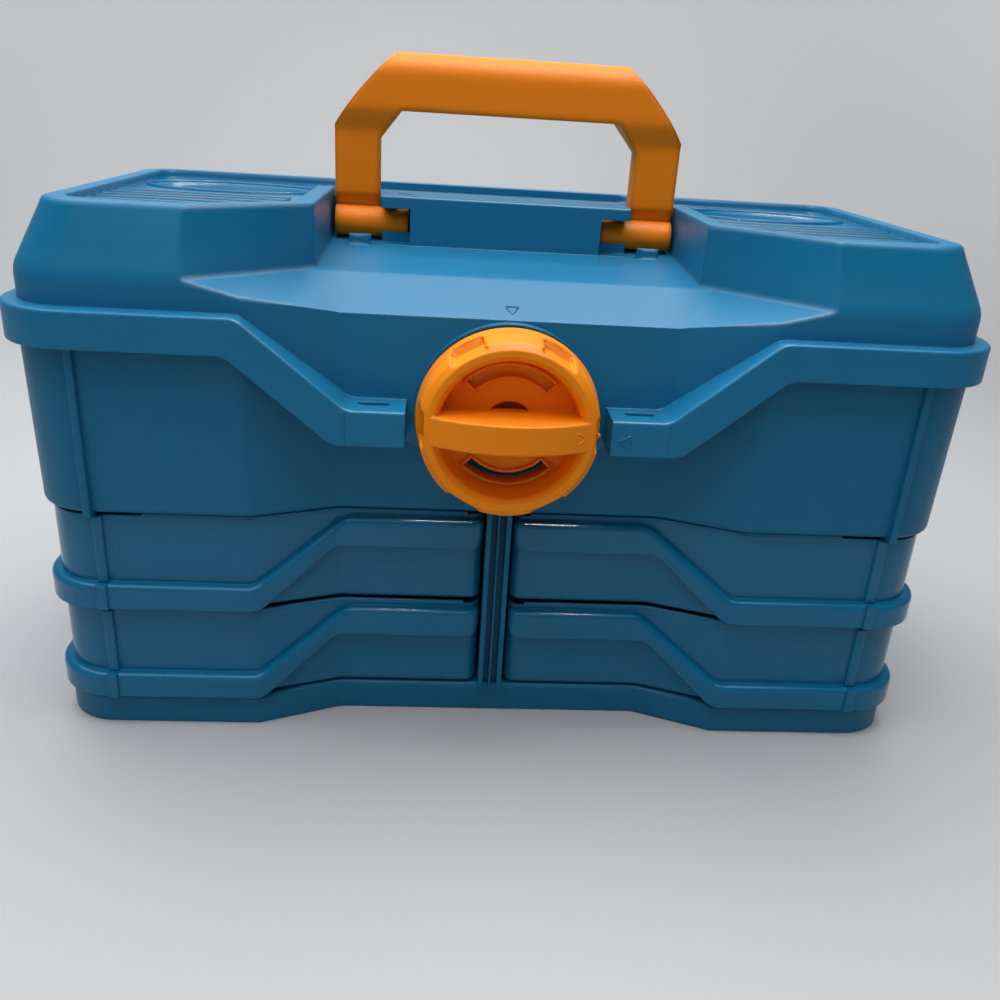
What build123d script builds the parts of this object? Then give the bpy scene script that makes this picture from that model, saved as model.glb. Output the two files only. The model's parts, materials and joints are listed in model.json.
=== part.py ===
from build123d import *
import os
from math import asin, cos, sin

# Tackle box with a hinged lid, a round turn latch and four trays that swing out.
# Millimetres. The origin is the middle of the bottom face, +Z is up and the front looks to -Y.
# A size called "..._in" is measured back from the front face of the lid's flange.

# Overall
width = 460.0
depth = 210.0
wall = 2.2
seat_gap = 0.3
run_fit = 0.06

# Front recess shared by every layer: x where it starts and where it is fully set back
recess_out_x = 121.0
recess_in_x = 80.0
bend_radius = 9.0

# Corner axis, shared by the bin, the trays and their pivots
axis_side_in = 34.0
axis_front_in = 36.5

# Base plinth and the fixed housing above it
plinth_height = 16.6
plinth_side_in = 7.5
plinth_recess = 16.5
plinth_back_in = 8.0
plinth_round = 2.5
rib_wall = 1.8
rib_across = 60.0
housing_start = 26.0
web_wall = 2.4
web_front_in = 36.0
rail_width = 2.4

# Centre post, a channel open to the front
post_half = 6.3
post_front_in = 22.0
post_depth = 10.0
post_fin = 2.6
post_back = 2.0
post_rib = 1.2
post_tenon = 3.0

# Trays
tray_height = 48.6
tray_pitch = 51.2
tray_lift = 0.8
tray_radius = 24.5
tray_recess = 14.5
tray_inner_x = 7.6
tray_inner_round = 6.0
tray_wrap = 22.0
tray_step = 4.5
tray_back_in = 190.0
tray_wall = 1.8
tray_rear_round = 8.0
tray_bottom_round = 3.0
tray_rib_x = 193.0
tray_rib_width = 5.2
tray_rib_proud = 1.5
lip_high = 46.5
lip_reach = 5.0
lip_wall = 2.0
lip_nose = 2.8
lip_face_high = 15.1
lip_face_low = 13.0
lip_top_bend_x = 76.0
lip_top_foot_x = 120.0
lip_under_bend_x = 81.8
lip_under_foot_x = 117.8
lip_bend_radius = 12.0
lip_end_round = 7.0
lip_wrap = 9.0
lip_rear_round = 4.0
divider_wall = 1.6
divider_spots = (128.0, 166.0)
divider_drop = 5.0
divider_play = 0.2
guide_wall = 1.2
guide_depth = 2.5
pivot_rod_radius = 2.5
pivot_boss_radius = 6.0
shelf_wall = 1.5
shelf_front_in = 38.0
shelf_pad_radius = 20.0

# Upper bin
bin_lift = 2.0
bin_top = 214.2
bin_top_radius = 29.5
bin_draft = 1.5
bin_back_in = 8.0
bin_floor = 2.4
bin_bottom_round = 3.0
bin_rib_x = 195.0
bin_rib_width = 3.6
bin_rib_proud = 1.6
bin_rib_drop = 1.4
socket_height = 9.0

# Lid flange with its skirt, ledge and two latch-side tabs
flange_top = 217.0
flange_face = 17.0
flange_wall = 2.4
flange_radius = 34.0
flange_foot_x = 121.0
flange_under_foot_x = 126.8
flange_bend_radius = 10.0
flange_round = 1.5
tab_drop = 39.3
tab_face = 16.8
tab_bend_x = 74.0
tab_under_bend_x = 80.7
tab_inner_x = 47.4
tab_slot_x = 62.0
tab_slot_in = 12.4
tab_slot_length = 14.5
tab_slot_width = 4.6

# Lid shell
lid_side_in = 6.0
lid_front_in = 8.5
lid_back_in = 7.0
lid_recess = 12.5
lid_radius = 28.0
lid_bend_z = 230.5
lid_bend_round = 16.0
lid_top_z = 260.5
crown_side_in = 22.0
crown_front_in = 18.4
crown_back_in = 11.0
crown_radius = 18.0
crown_round = 2.5
rim_width = 9.5
deck_drop = 4.5
apron_wall = 2.0
apron_gap = 1.2
apron_low_z = 154.0
apron_round = 10.0

# Hollow in the middle of the lid, with a slanted panel, a shelf and two side facets
panel_low_z = 218.4
panel_low_in = 23.2
crease_z = 231.2
crease_in = 48.0
shelf_back_z = 235.3
pad_face_x = 144.3
pad_face_in = 9.4
pad_face_z = 230.6
pad_inner_x = 93.2
pad_inner_in = 52.6
hollow_back_in = 142.0

# Oval dishes and steps in the two pads
dish_x = 150.0
dish_in = 150.0
dish_half_length = 45.0
dish_half_width = 24.0
dish_depth = 7.0
dish_slope = 4.0
pad_step_count = 7
pad_step_pitch = 11.0
pad_step_height = 1.2
pad_step_first_in = 40.0

# Handle and the block that it is hinged in
handle_axis_in = 126.0
handle_axis_z = 245.2
barrel_radius = 8.0
barrel_inner_x = 52.2
handle_half = 91.0
leg_width = 23.0
leg_front = 3.9
leg_back = 12.0
heel_z = 259.6
heel_low_z = 253.0
handle_top_z = 329.2
handle_shoulder_z = 293.4
handle_top_half = 59.4
handle_bow = 1.6
grip_under_z = 301.4
grip_under_half = 57.0
handle_inner_z = 287.3
grip_front = 8.0
grip_back = 16.0
grip_round = 11.0
grip_lower_round = 5.0
handle_edge = 0.8
block_front_in = 110.0
block_half = 66.0
window_x = 50.8
window_top_z = 254.0
block_round = 1.5
barrel_gap = 0.4
well_floor_z = 235.4
top_hole_x = 54.0
top_hole_length = 8.0
top_hole_width = 4.0
top_hole_depth = 9.0
snap_tab_x = 76.8
snap_tab_width = 11.4
snap_tab_wall = 2.4
snap_tab_height = 5.2

# Turn latch
knob_axis_z = 172.3
knob_front_in = -8.0
knob_back_in = 15.0
knob_back_radius = 43.5
knob_front_radius = 41.2
knob_chamfer = 3.0
knob_wall = 2.6
knob_face_inner = 35.2
knob_lip_radius = 32.8
knob_floor_radius = 31.0
knob_floor_in = 6.0
knob_notch_count = 6
knob_notch_width = 16.6
knob_notch_depth = 2.4
knob_notch_back_in = 8.0
knob_bar_half = 7.0
knob_bar_crown = 10.0
knob_bar_reach = 36.5
knob_slot_inner = 23.0
knob_slot_outer = 28.6
knob_slot_half_angle = 46.0
knob_slot_sink = 2.0
knob_well_radius = 11.2
knob_well_depth = 6.0
knob_round = 1.2
knob_edge = 0.4
knob_border = 1.0
hub_radius = 12.0
hub_base_radius = 14.0
hub_flats = 16.0
keyhole_gap = 0.5
spindle_radius = 5.0
arch_radius = 42.7
arch_wall = 1.3
arch_proud = 3.0
latch_screw_radius = 2.0
latch_screw_length = 14.0
latch_head_radius = 5.0
latch_head_height = 3.0
washer_radius = 9.0
washer_wall = 1.5

# Lid hinge
hinge_out = 5.0
hinge_z = 194.0
hinge_x = 130.0
hinge_pin_radius = 2.0
knuckle_radius = 4.5
knuckle_length = 14.0
knuckle_gap = 0.5
outer_knuckle = 10.0

# Screws that hold the bin on the housing
screw_radius = 2.0
screw_head_radius = 3.8
screw_head_height = 2.4
screw_length = 12.0
boss_radius = 4.6
rear_screw_x = 75.0
rear_screw_in = 190.0
web_screw_in = (60.0, 150.0)

# Levels and places worked out from the sizes above
half_width = width / 2
half_depth = depth / 2
far = 2 * width


def back(distance_in):
    """Row Y of a place that lies this far behind the flange's front face."""
    return distance_in - half_depth


axis_x = half_width - axis_side_in
axis_y = back(axis_front_in)
apron_in = lid_front_in + lid_recess
bin_centre_in = apron_in + apron_wall + apron_gap
tray_lower_z = plinth_height + tray_lift
tray_upper_z = tray_lower_z + tray_pitch
shelf_top_z = tray_upper_z - tray_lift
bin_bottom = tray_upper_z + tray_height + bin_lift
tray_sweep = axis_x - tray_inner_x
tray_side = axis_x + tray_radius
tray_front = axis_y - tray_radius
handle_axis_y = back(handle_axis_in)
hinge_y = half_depth + hinge_out
ledge_under_z = flange_top - flange_wall
tab_top_z = flange_top - tab_drop
guide_front = tray_front + tray_wall + guide_depth / 2
guide_rear = back(tray_back_in) - tray_wall - guide_depth / 2
pin_length = knuckle_length + 2 * (knuckle_gap + outer_knuckle)
knuckle_starts = [s * hinge_x + t for s in (-1, 1)
                  for t in (-pin_length / 2, knuckle_length / 2 + knuckle_gap)]
web_rear = half_depth - plinth_back_in - wall
screw_spots = [(0, back(y)) for y in web_screw_in]
rear_screws = [(-rear_screw_x, back(rear_screw_in)), (rear_screw_x, back(rear_screw_in))]


def recessed_outline(side, front, rear, recess, radius):
    """Rounded outline, wide as 2 * side, whose front is set back between two slanted stretches."""
    with BuildSketch() as plan:
        with BuildLine():
            FilletPolyline(
                (-side, front),
                (-recess_out_x, front),
                (-recess_in_x, front + recess),
                (recess_in_x, front + recess),
                (recess_out_x, front),
                (side, front),
                (side, rear),
                (-side, rear),
                radius=[radius, bend_radius, bend_radius, bend_radius, bend_radius, radius, radius, radius],
                close=True,
            )
        make_face()
    return plan.sketch


def plain_outline(side, front, rear, radius):
    """Rounded rectangle, wide as 2 * side, from front to rear."""
    with BuildSketch() as plan:
        with Locations((0, (front + rear) / 2)):
            RectangleRounded(2 * side, rear - front, radius)
    return plan.sketch


def raised(sketch, low_z, high_z):
    """The sketch as a straight-sided solid between two levels."""
    with BuildPart() as solid:
        with BuildSketch(Plane.XY.offset(low_z)):
            add(sketch)
        extrude(amount=high_z - low_z)
    return solid.part


def bridged(low, low_z, high, high_z):
    """Solid with drafted walls from one sketch up to another."""
    with BuildPart() as solid:
        with BuildSketch(Plane.XY.offset(low_z)):
            add(low)
        with BuildSketch(Plane.XY.offset(high_z)):
            add(high)
        loft(ruled=True)
    return solid.part


def across_depth(points, radii):
    """Front-view profile pushed right through the box. Its first and last points stay sharp."""
    with BuildPart() as solid:
        with BuildSketch(Plane.XZ):
            with BuildLine():
                FilletPolyline(*points, radius=radii)
                Line(points[-1], points[0])
            make_face()
        extrude(amount=far, both=True)
    return solid.part


def below_plane(low_point, high_point, side_point):
    """Everything under the plane through three points, near the box."""
    plane = Plane(low_point, x_dir=high_point - low_point,
                  z_dir=(high_point - low_point).cross(side_point - low_point))
    with BuildPart() as solid:
        Box(far, far, far)
        split(bisect_by=plane, keep=Keep.BOTTOM if plane.z_dir.Z > 0 else Keep.TOP)
    return solid.part


def brow_edges(solid, outline):
    """Edges where faces that look up meet the solid's outline, seen from above."""
    edges = [e for f in solid.faces() if f.normal_at().Z > 0.3 for e in f.edges()]
    rim = outline.wire()
    return ShapeList(e for e in edges
                     if all(rim.distance_to(Vertex(p.X, p.Y, 0)) < 0.01 for p in (e @ 0, e @ 0.5, e @ 1)))


# Housing: plinth with a ribbed underside, rear and side walls and the lower centre web
plinth_side = half_width - plinth_side_in
plinth_radius = plinth_side - axis_x
plinth_front = axis_y - plinth_radius
plinth_plan = recessed_outline(plinth_side, plinth_front, half_depth - plinth_back_in,
                               plinth_recess, plinth_radius)
shelf_low_z = shelf_top_z - shelf_wall
with BuildPart() as housing:
    add(raised(plinth_plan, 0, plinth_height))
    fillet(housing.edges().group_by(Axis.Z)[0], rib_wall / 2)
    fillet(housing.edges().group_by(Axis.Z)[-1], plinth_round)
    with BuildSketch():
        offset(plinth_plan, amount=-wall)
    extrude(amount=plinth_height - wall, mode=Mode.SUBTRACT)
    # ribs under the floor and the feet of the pivot rods
    with BuildSketch():
        with BuildSketch(mode=Mode.PRIVATE) as ribs:
            with GridLocations(rib_across, 0, 7, 1):
                Rectangle(rib_wall, depth)
            with Locations((0, 0), (0, rib_across)):
                Rectangle(width, 3 * rib_wall)
            with Locations((-axis_x, axis_y), (axis_x, axis_y)):
                Circle(pivot_boss_radius)
        add(ribs.sketch)
        offset(plinth_plan, amount=-wall / 2, mode=Mode.INTERSECT)
    extrude(amount=plinth_height - wall)
    # walls from the plinth up to the bin, open at the front for the trays
    with BuildSketch(Plane.XY.offset(plinth_height - wall)):
        add(plinth_plan)
        offset(plinth_plan, amount=-wall, mode=Mode.SUBTRACT)
        with Locations((0, axis_y + housing_start - far / 2)):
            Rectangle(far, far, mode=Mode.SUBTRACT)
    extrude(amount=bin_bottom - plinth_height + wall)
    # rails that carry the shelf, on the rear wall, and the web between the lower trays
    with BuildSketch(Plane.XY.offset(plinth_height - wall)):
        with Locations((0, (back(web_front_in) + web_rear) / 2)):
            Rectangle(web_wall, web_rear - back(web_front_in))
    extrude(amount=shelf_low_z - plinth_height + wall)
    with BuildSketch(Plane.XY.offset(shelf_low_z - rail_width)):
        with Locations((0, web_rear)):
            Rectangle(2 * plinth_side - 4 * plinth_radius, 2 * rail_width)
    extrude(amount=rail_width)
    # bosses for the two rear screws
    with BuildSketch(Plane.XY.offset(plinth_height - wall)):
        with Locations(*rear_screws):
            Circle(boss_radius)
        with Locations(*[(x, (y + web_rear) / 2) for x, y in rear_screws]):
            Rectangle(web_wall, web_rear - back(rear_screw_in) + wall)
    extrude(amount=bin_bottom - plinth_height + wall)
    with Locations(*[(x, y, bin_bottom) for x, y in rear_screws]):
        Hole(screw_radius + run_fit, depth=screw_length + 1)
    with Locations((-axis_x, axis_y, plinth_height), (axis_x, axis_y, plinth_height)):
        Hole(pivot_rod_radius + run_fit, depth=plinth_height - wall)
    with BuildSketch(Plane.XY.offset(plinth_height)):
        with Locations((0, back(post_front_in + post_depth) - post_back / 2)):
            Rectangle(2 * post_half + 2 * run_fit, post_back + 2 * run_fit)
    extrude(amount=-post_tenon - run_fit, mode=Mode.SUBTRACT)
housing.part.label = "base_housing"

# Shelf between the tray levels, with the upper centre web standing on it
with BuildPart() as shelf:
    with BuildSketch(Plane.XY.offset(shelf_low_z)) as shelf_plan:
        offset(plinth_plan, amount=-wall - seat_gap)
        with Locations((0, back(shelf_front_in) - far / 2)):
            Rectangle(far, far, mode=Mode.SUBTRACT)
        with Locations((-axis_x, axis_y), (axis_x, axis_y)):
            Circle(shelf_pad_radius)
    extrude(amount=shelf_wall)
    with BuildSketch(Plane.XY.offset(shelf_top_z)):
        with Locations((0, (back(web_front_in) + web_rear) / 2)):
            Rectangle(web_wall, web_rear - back(web_front_in) - 2 * seat_gap)
        with Locations(*screw_spots):
            Circle(boss_radius)
    extrude(amount=bin_bottom - shelf_top_z)
    with Locations(*[(x, y, bin_bottom) for x, y in screw_spots]):
        Hole(screw_radius + run_fit, depth=screw_length + 1)
    with Locations((-axis_x, axis_y, shelf_top_z), (axis_x, axis_y, shelf_top_z)):
        Hole(pivot_rod_radius + run_fit, depth=shelf_wall)
    # room for the bosses of the rear screws
    with BuildSketch(Plane.XY.offset(shelf_low_z)):
        with Locations(*rear_screws):
            Circle(boss_radius + seat_gap)
        with Locations(*[(x, (y + web_rear) / 2) for x, y in rear_screws]):
            Rectangle(web_wall + 2 * seat_gap, web_rear - back(rear_screw_in) + wall)
    extrude(amount=shelf_wall, mode=Mode.SUBTRACT)
shelf.part.label = "mid_shelf"

# Centre post
with BuildPart() as post:
    with BuildSketch(Plane.XY.offset(plinth_height)):
        with Locations((0, back(post_front_in) + post_depth / 2)):
            Rectangle(2 * post_half, post_depth)
        with Locations((0, back(post_front_in) + (post_depth - post_back) / 2)):
            Rectangle(2 * (post_half - post_fin), post_depth - post_back, mode=Mode.SUBTRACT)
            Rectangle(post_rib, post_depth - post_back)
        with Locations((0, back(post_front_in) + post_rib)):
            Rectangle(2 * (post_half - post_fin), 2 * post_rib, mode=Mode.SUBTRACT)
    extrude(amount=bin_bottom - plinth_height)
    fillet(post.edges().filter_by(Axis.Z).group_by(Axis.Y)[0], post_fin / 4)
    with BuildSketch(Plane.XY.offset(plinth_height)):
        with Locations((0, back(post_front_in + post_depth) - post_back / 2)):
            Rectangle(2 * post_half, post_back)
    extrude(amount=-post_tenon)
post.part.label = "centre_post"

# Tray: plan outline, then the lip that wraps round its front and dips at the side
tray_rear = back(tray_back_in)
inner_turn = asin((tray_rear - axis_y) / tray_sweep)
with BuildSketch() as tray_plan:
    with BuildLine():
        FilletPolyline(
            (tray_inner_x, axis_y),
            (tray_inner_x, tray_front + tray_recess),
            (recess_in_x, tray_front + tray_recess),
            (recess_out_x, tray_front),
            (tray_side, tray_front),
            (tray_side, axis_y + tray_wrap),
            (tray_side - tray_step, axis_y + tray_wrap + tray_step),
            (tray_side - tray_step, tray_rear),
            (axis_x - tray_sweep * cos(inner_turn), tray_rear),
            radius=[tray_inner_round, bend_radius, bend_radius, tray_radius, tray_step, tray_step,
                    tray_rear_round],
        )
        ThreePointArc(
            (axis_x - tray_sweep * cos(inner_turn), tray_rear),
            (axis_x - tray_sweep * cos(inner_turn / 2), axis_y + tray_sweep * sin(inner_turn / 2)),
            (tray_inner_x, axis_y),
        )
    make_face()
    fillet(tray_plan.vertices().group_by(Axis.Y)[-1].sort_by(Axis.X)[0], tray_inner_round)


def lip_ring(grow):
    """Plan of the tray's front and side stretch, made larger all round by grow."""
    front = tray_front - grow
    with BuildSketch() as plan:
        with BuildLine():
            FilletPolyline(
                (tray_inner_x, front + tray_recess),
                (recess_in_x, front + tray_recess),
                (recess_out_x, front),
                (tray_side + grow, front),
                (tray_side + grow, axis_y + lip_wrap),
                (tray_inner_x, axis_y + lip_wrap),
                radius=[tray_inner_round, bend_radius, bend_radius, tray_radius + grow,
                        lip_rear_round, lip_rear_round],
                close=True,
            )
        make_face()
    return plan.sketch


def lip_band(top_drop, under_drop, end_in):
    """Front view of the lip: high across the recess, low round the corner."""
    top = lip_high - top_drop
    under = lip_high - lip_face_high - under_drop
    low_top = lip_face_low - top_drop
    return across_depth(
        [
            (tray_inner_x + end_in, top),
            (lip_top_bend_x, top),
            (lip_top_foot_x, low_top),
            (width, low_top),
            (width, -under_drop),
            (lip_under_foot_x, -under_drop),
            (lip_under_bend_x, under),
            (tray_inner_x + end_in, under),
            (tray_inner_x + end_in, (top + under) / 2),
        ],
        [lip_bend_radius, lip_bend_radius, lip_nose, lip_nose, lip_bend_radius, lip_bend_radius,
         lip_end_round - end_in],
    )


lip_outer = lip_ring(lip_reach)
with BuildPart() as lip_hollow:
    add(raised(lip_ring(lip_reach - lip_wall), -lip_face_low, lip_high))
    add(lip_band(lip_wall, lip_face_low, lip_wall), mode=Mode.INTERSECT)
with BuildPart() as lip:
    add(raised(lip_outer, 0, lip_high))
    add(lip_band(0, 0, 0), mode=Mode.INTERSECT)
    nose = [e for e in brow_edges(lip, lip_outer)
            if (e @ 0.5).X > tray_inner_x + seat_gap and (e @ 0.5).Y < axis_y + lip_wrap - seat_gap]
    fillet(nose, lip_nose)
    # hollow underside, so that the lip is a thin hooked wall
    add(lip_hollow.part, mode=Mode.SUBTRACT)

# Rib down the tray's front on the pivot's line, over lip and wall alike
with BuildPart() as front_rib:
    add(raised(lip_ring(lip_reach + tray_rib_proud), 0, lip_face_low))
    add(raised(lip_ring(tray_rib_proud), lip_face_low, tray_height))
    with Locations((tray_rib_x, axis_y - tray_radius, 0)):
        Box(tray_rib_width, tray_radius, far, mode=Mode.INTERSECT)

with BuildPart() as tray_shape:
    add(raised(tray_plan.sketch, 0, tray_height))
    fillet(tray_shape.edges().group_by(Axis.Z)[0], tray_bottom_round)
    add(lip.part)
    add(front_rib.part)
    add(raised(offset(tray_plan.sketch, amount=-tray_wall, mode=Mode.PRIVATE), tray_wall, tray_height),
        mode=Mode.SUBTRACT)
    # slots for the dividers, between pairs of guide ribs on the front and rear walls
    with BuildSketch(Plane.XY.offset(tray_wall)):
        with Locations(*[(x, y) for x in divider_spots for y in (guide_front, guide_rear)]):
            with GridLocations(divider_wall + 2 * divider_play + guide_wall, 0, 2, 1):
                Rectangle(guide_wall, guide_depth)
    extrude(amount=tray_height - tray_wall - divider_drop)
    with BuildSketch(Plane.XY.offset(seat_gap - tray_lift)):
        with Locations((axis_x, axis_y)):
            Circle(pivot_boss_radius)
    extrude(amount=tray_height + tray_lift - seat_gap)
    with Locations((axis_x, axis_y, tray_height)):
        Hole(pivot_rod_radius + run_fit)

with BuildPart() as divider_shape:
    with BuildSketch(Plane.XY.offset(tray_wall)):
        with Locations(*[(x, (guide_front + guide_rear) / 2) for x in divider_spots]):
            Rectangle(divider_wall, guide_rear - guide_front + guide_depth - 2 * seat_gap)
    extrude(amount=tray_height - tray_wall - divider_drop)

trays = []
for level, level_z in (("lower", tray_lower_z), ("upper", tray_upper_z)):
    for shape, kind in ((tray_shape, "tray"), (divider_shape, "dividers")):
        with BuildPart() as right:
            with Locations((0, 0, level_z)):
                add(shape.part)
        right.part.label = f"{level}_right_{kind}"
        with BuildPart() as left:
            mirror(right.part, about=Plane.YZ)
        left.part.label = f"{level}_left_{kind}"
        trays += [right.part, left.part]

# Upper bin, drafted, with its front rim cut down under the lid's ledge
bin_side = axis_x + bin_top_radius
bin_front = axis_y - bin_top_radius
bin_rear = half_depth - bin_back_in
bin_recess = back(bin_centre_in) - bin_front
bin_top_plan = recessed_outline(bin_side, bin_front, bin_rear, bin_recess, bin_top_radius)
bin_low_plan = recessed_outline(bin_side - bin_draft, bin_front + bin_draft, bin_rear,
                                bin_recess - bin_draft, bin_top_radius - bin_draft)


with BuildPart() as bin_trim:
    add(across_depth(
        [(-width, far), (-width, bin_top + seat_gap), (-flange_foot_x, bin_top + seat_gap),
         (-tab_bend_x, bin_top + seat_gap - tab_drop), (tab_bend_x, bin_top + seat_gap - tab_drop),
         (flange_foot_x, bin_top + seat_gap), (width, bin_top + seat_gap), (width, far), (0, far)],
        [wall, flange_bend_radius, flange_bend_radius, flange_bend_radius, flange_bend_radius, wall, wall]))
    with Locations((0, back(bin_centre_in - apron_gap / 2) - far / 2, 0)):
        Box(far, far, far, mode=Mode.INTERSECT)

with BuildPart() as upper_bin:
    add(bridged(bin_low_plan, bin_bottom, bin_top_plan, bin_top))
    fillet(upper_bin.edges().group_by(Axis.Z)[0], bin_bottom_round)
    # ribs on the corners, in line with those of the trays
    with BuildSketch(Plane.XY.offset(bin_bottom - bin_rib_drop)):
        with Locations((-bin_rib_x, bin_front + bin_rib_width), (bin_rib_x, bin_front + bin_rib_width)):
            Rectangle(bin_rib_width, 2 * (bin_rib_width + bin_rib_proud))
    extrude(amount=bin_top - flange_face - bin_bottom + bin_rib_drop)
    add(bridged(offset(bin_low_plan, amount=-wall, mode=Mode.PRIVATE), bin_bottom + bin_floor,
                offset(bin_top_plan, amount=-wall, mode=Mode.PRIVATE), bin_top), mode=Mode.SUBTRACT)
    add(bin_trim.part, mode=Mode.SUBTRACT)
    # sockets for the tops of the pivot rods
    with BuildSketch(Plane.XY.offset(bin_bottom + bin_floor)):
        with Locations((-axis_x, axis_y), (axis_x, axis_y)):
            Circle(pivot_boss_radius)
    extrude(amount=socket_height)
    with BuildSketch(Plane.XY.offset(bin_bottom)):
        with Locations((-axis_x, axis_y), (axis_x, axis_y)):
            Circle(pivot_rod_radius + run_fit)
    extrude(amount=bin_floor + socket_height - wall, mode=Mode.SUBTRACT)
    with Locations(*[(x, y, bin_bottom + bin_floor) for x, y in screw_spots + rear_screws]):
        Hole(screw_radius + run_fit, depth=bin_floor)
    # boss round the latch spindle, on the inside of the front wall
    with BuildSketch(Plane.XZ.offset(-back(bin_centre_in + wall))):
        with Locations((0, knob_axis_z)):
            Circle(washer_radius + wall)
            Circle(washer_radius + seat_gap, mode=Mode.SUBTRACT)
    extrude(amount=-washer_wall)
    with BuildSketch(Plane.XZ.offset(-back(bin_centre_in + wall))):
        with Locations((0, knob_axis_z)):
            Circle(spindle_radius + run_fit)
    extrude(amount=wall, mode=Mode.SUBTRACT)
    # outer knuckles of the lid hinge, each on an arm from the rear wall
    with BuildSketch(Plane.YZ) as bin_knuckle:
        with Locations((hinge_y, hinge_z)):
            Circle(knuckle_radius)
        with Locations(((hinge_y + bin_rear - wall) / 2, hinge_z)):
            Rectangle(hinge_y - bin_rear + wall, 2 * knuckle_radius)
        with Locations((hinge_y, hinge_z)):
            Circle(hinge_pin_radius + run_fit, mode=Mode.SUBTRACT)
    for x in knuckle_starts:
        extrude(bin_knuckle.sketch.moved(Location((x, 0, 0))), amount=outer_knuckle)
upper_bin.part.label = "upper_bin"

# Lid shell: a drafted dome with a recess down its front, minus the hollow in its middle
lid_side = half_width - lid_side_in
lid_rear = half_depth - lid_back_in
crown_side = half_width - crown_side_in
crown_rear = half_depth - crown_back_in


def recess_plan(inset):
    """Plan of the lid's walls, with the set-back front."""
    return recessed_outline(lid_side - inset, back(lid_front_in) + inset, lid_rear - inset,
                            lid_recess, lid_radius - inset)


def recess_cut(inset):
    """Plan of what the set-back front leaves out."""
    with BuildSketch() as plan:
        with Locations((0, back(lid_front_in) + inset)):
            Rectangle(2 * (recess_out_x + bend_radius), 3 * lid_recess)
        add(recess_plan(inset), mode=Mode.SUBTRACT)
    return plan.sketch


def dome(inset):
    """The lid's outer form, or its inner form one wall further in."""
    low = plain_outline(lid_side - inset, back(lid_front_in) + inset, lid_rear - inset, lid_radius - inset)
    crown = plain_outline(crown_side - inset, back(crown_front_in) + inset, crown_rear - inset,
                          crown_radius - inset)
    with BuildPart() as form:
        add(raised(low, ledge_under_z, lid_bend_z))
        add(bridged(low, lid_bend_z, crown, lid_top_z))
    return form.part


def pad_outline(face_in):
    """Plan of the hollow between the pads, whose slanted faces start this far in at pad_face_x."""
    run_x, run_y = 2 * pad_face_x - pad_inner_x, back(2 * face_in - pad_inner_in)
    with BuildSketch() as plan:
        with BuildLine():
            Polyline(
                (-run_x, run_y),
                (-pad_inner_x, back(pad_inner_in)),
                (-pad_inner_x, back(hollow_back_in)),
                (pad_inner_x, back(hollow_back_in)),
                (pad_inner_x, back(pad_inner_in)),
                (run_x, run_y),
                close=True,
            )
        make_face()
    return plan.sketch


hollow_plan = pad_outline(pad_face_in)
hollow_top_plan = pad_outline(crown_front_in)


def ground(drop):
    """What stays below the hollow: a slanted panel and a shelf, and a facet up to each pad."""
    panel_slope = (crease_z - panel_low_z) / (crease_in - panel_low_in)
    shelf_slope = (shelf_back_z - crease_z) / (block_front_in - crease_in)
    fore, aft = back(-depth), back(2 * depth)
    fore_z = panel_low_z - panel_slope * (back(panel_low_in) - fore)
    aft_z = crease_z + shelf_slope * (aft - back(crease_in))
    inner_z = crease_z + shelf_slope * (pad_inner_in - crease_in)
    with BuildPart() as form:
        with BuildSketch(Plane.YZ):
            with BuildLine():
                Polyline((fore, 0), (fore, fore_z - drop), (back(crease_in), crease_z - drop),
                         (aft, aft_z - drop), (aft, 0), close=True)
            make_face()
        extrude(amount=width, both=True)
    with BuildPart() as facet:
        add(below_plane(Vector(recess_in_x, back(panel_low_in), panel_low_z - drop),
                        Vector(pad_face_x, back(pad_face_in), pad_face_z - drop),
                        Vector(pad_inner_x, back(pad_inner_in), inner_z - drop)))
        with Locations((far / 2, back(pad_inner_in) - far / 2, 0)):
            Box(far, far, far, mode=Mode.INTERSECT)
        mirror(about=Plane.YZ)
    with BuildPart() as whole:
        add(form.part)
        add(facet.part)
    return whole.part


def hollowed(inset):
    """The dome with its middle cut down to the ground, and its front set back."""
    low, high = [offset(plan, amount=inset, kind=Kind.INTERSECTION, mode=Mode.PRIVATE) if inset else plan
                 for plan in (hollow_plan, hollow_top_plan)]
    with BuildPart() as cut:
        add(raised(low, ledge_under_z - wall, lid_bend_z))
        add(bridged(low, lid_bend_z, high, lid_top_z))
        add(raised(high, lid_top_z, lid_top_z + wall))
        add(ground(inset), mode=Mode.SUBTRACT)
    with BuildPart() as form:
        add(dome(inset))
        if inset == 0:
            fillet(form.edges().filter_by_position(Axis.Z, lid_bend_z - 0.1, lid_bend_z + 0.1), lid_bend_round)
            fillet(form.edges().group_by(Axis.Z)[-1], crown_round)
        else:
            with Locations((0, 0, lid_top_z - deck_drop - inset + far / 2)):
                Box(far, far, far, mode=Mode.SUBTRACT)
        add(raised(recess_cut(inset), 0, far), mode=Mode.SUBTRACT)
        add(cut.part, mode=Mode.SUBTRACT)
    return form.part


# Front view of the flange: it drops in two slopes to a tab each side of the latch
flange_plan = plain_outline(half_width, -half_depth, half_depth, flange_radius)
flange_front_limit = back(axis_front_in)
tab_low_z = tab_top_z - tab_face


def flange_band(top_drop, low_drop, end_in):
    """The flange's right-hand front stretch, as a slab across the whole depth."""
    return across_depth(
        [
            (tab_inner_x + end_in, tab_top_z - top_drop),
            (tab_bend_x, tab_top_z - top_drop),
            (flange_foot_x, flange_top - top_drop),
            (width, flange_top - top_drop),
            (width, flange_top - flange_face - low_drop),
            (flange_under_foot_x, flange_top - flange_face - low_drop),
            (tab_under_bend_x, tab_low_z - low_drop),
            (tab_inner_x + end_in, tab_low_z - low_drop),
        ],
        [flange_bend_radius, flange_bend_radius, wall, wall, flange_bend_radius, flange_bend_radius],
    )


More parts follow.
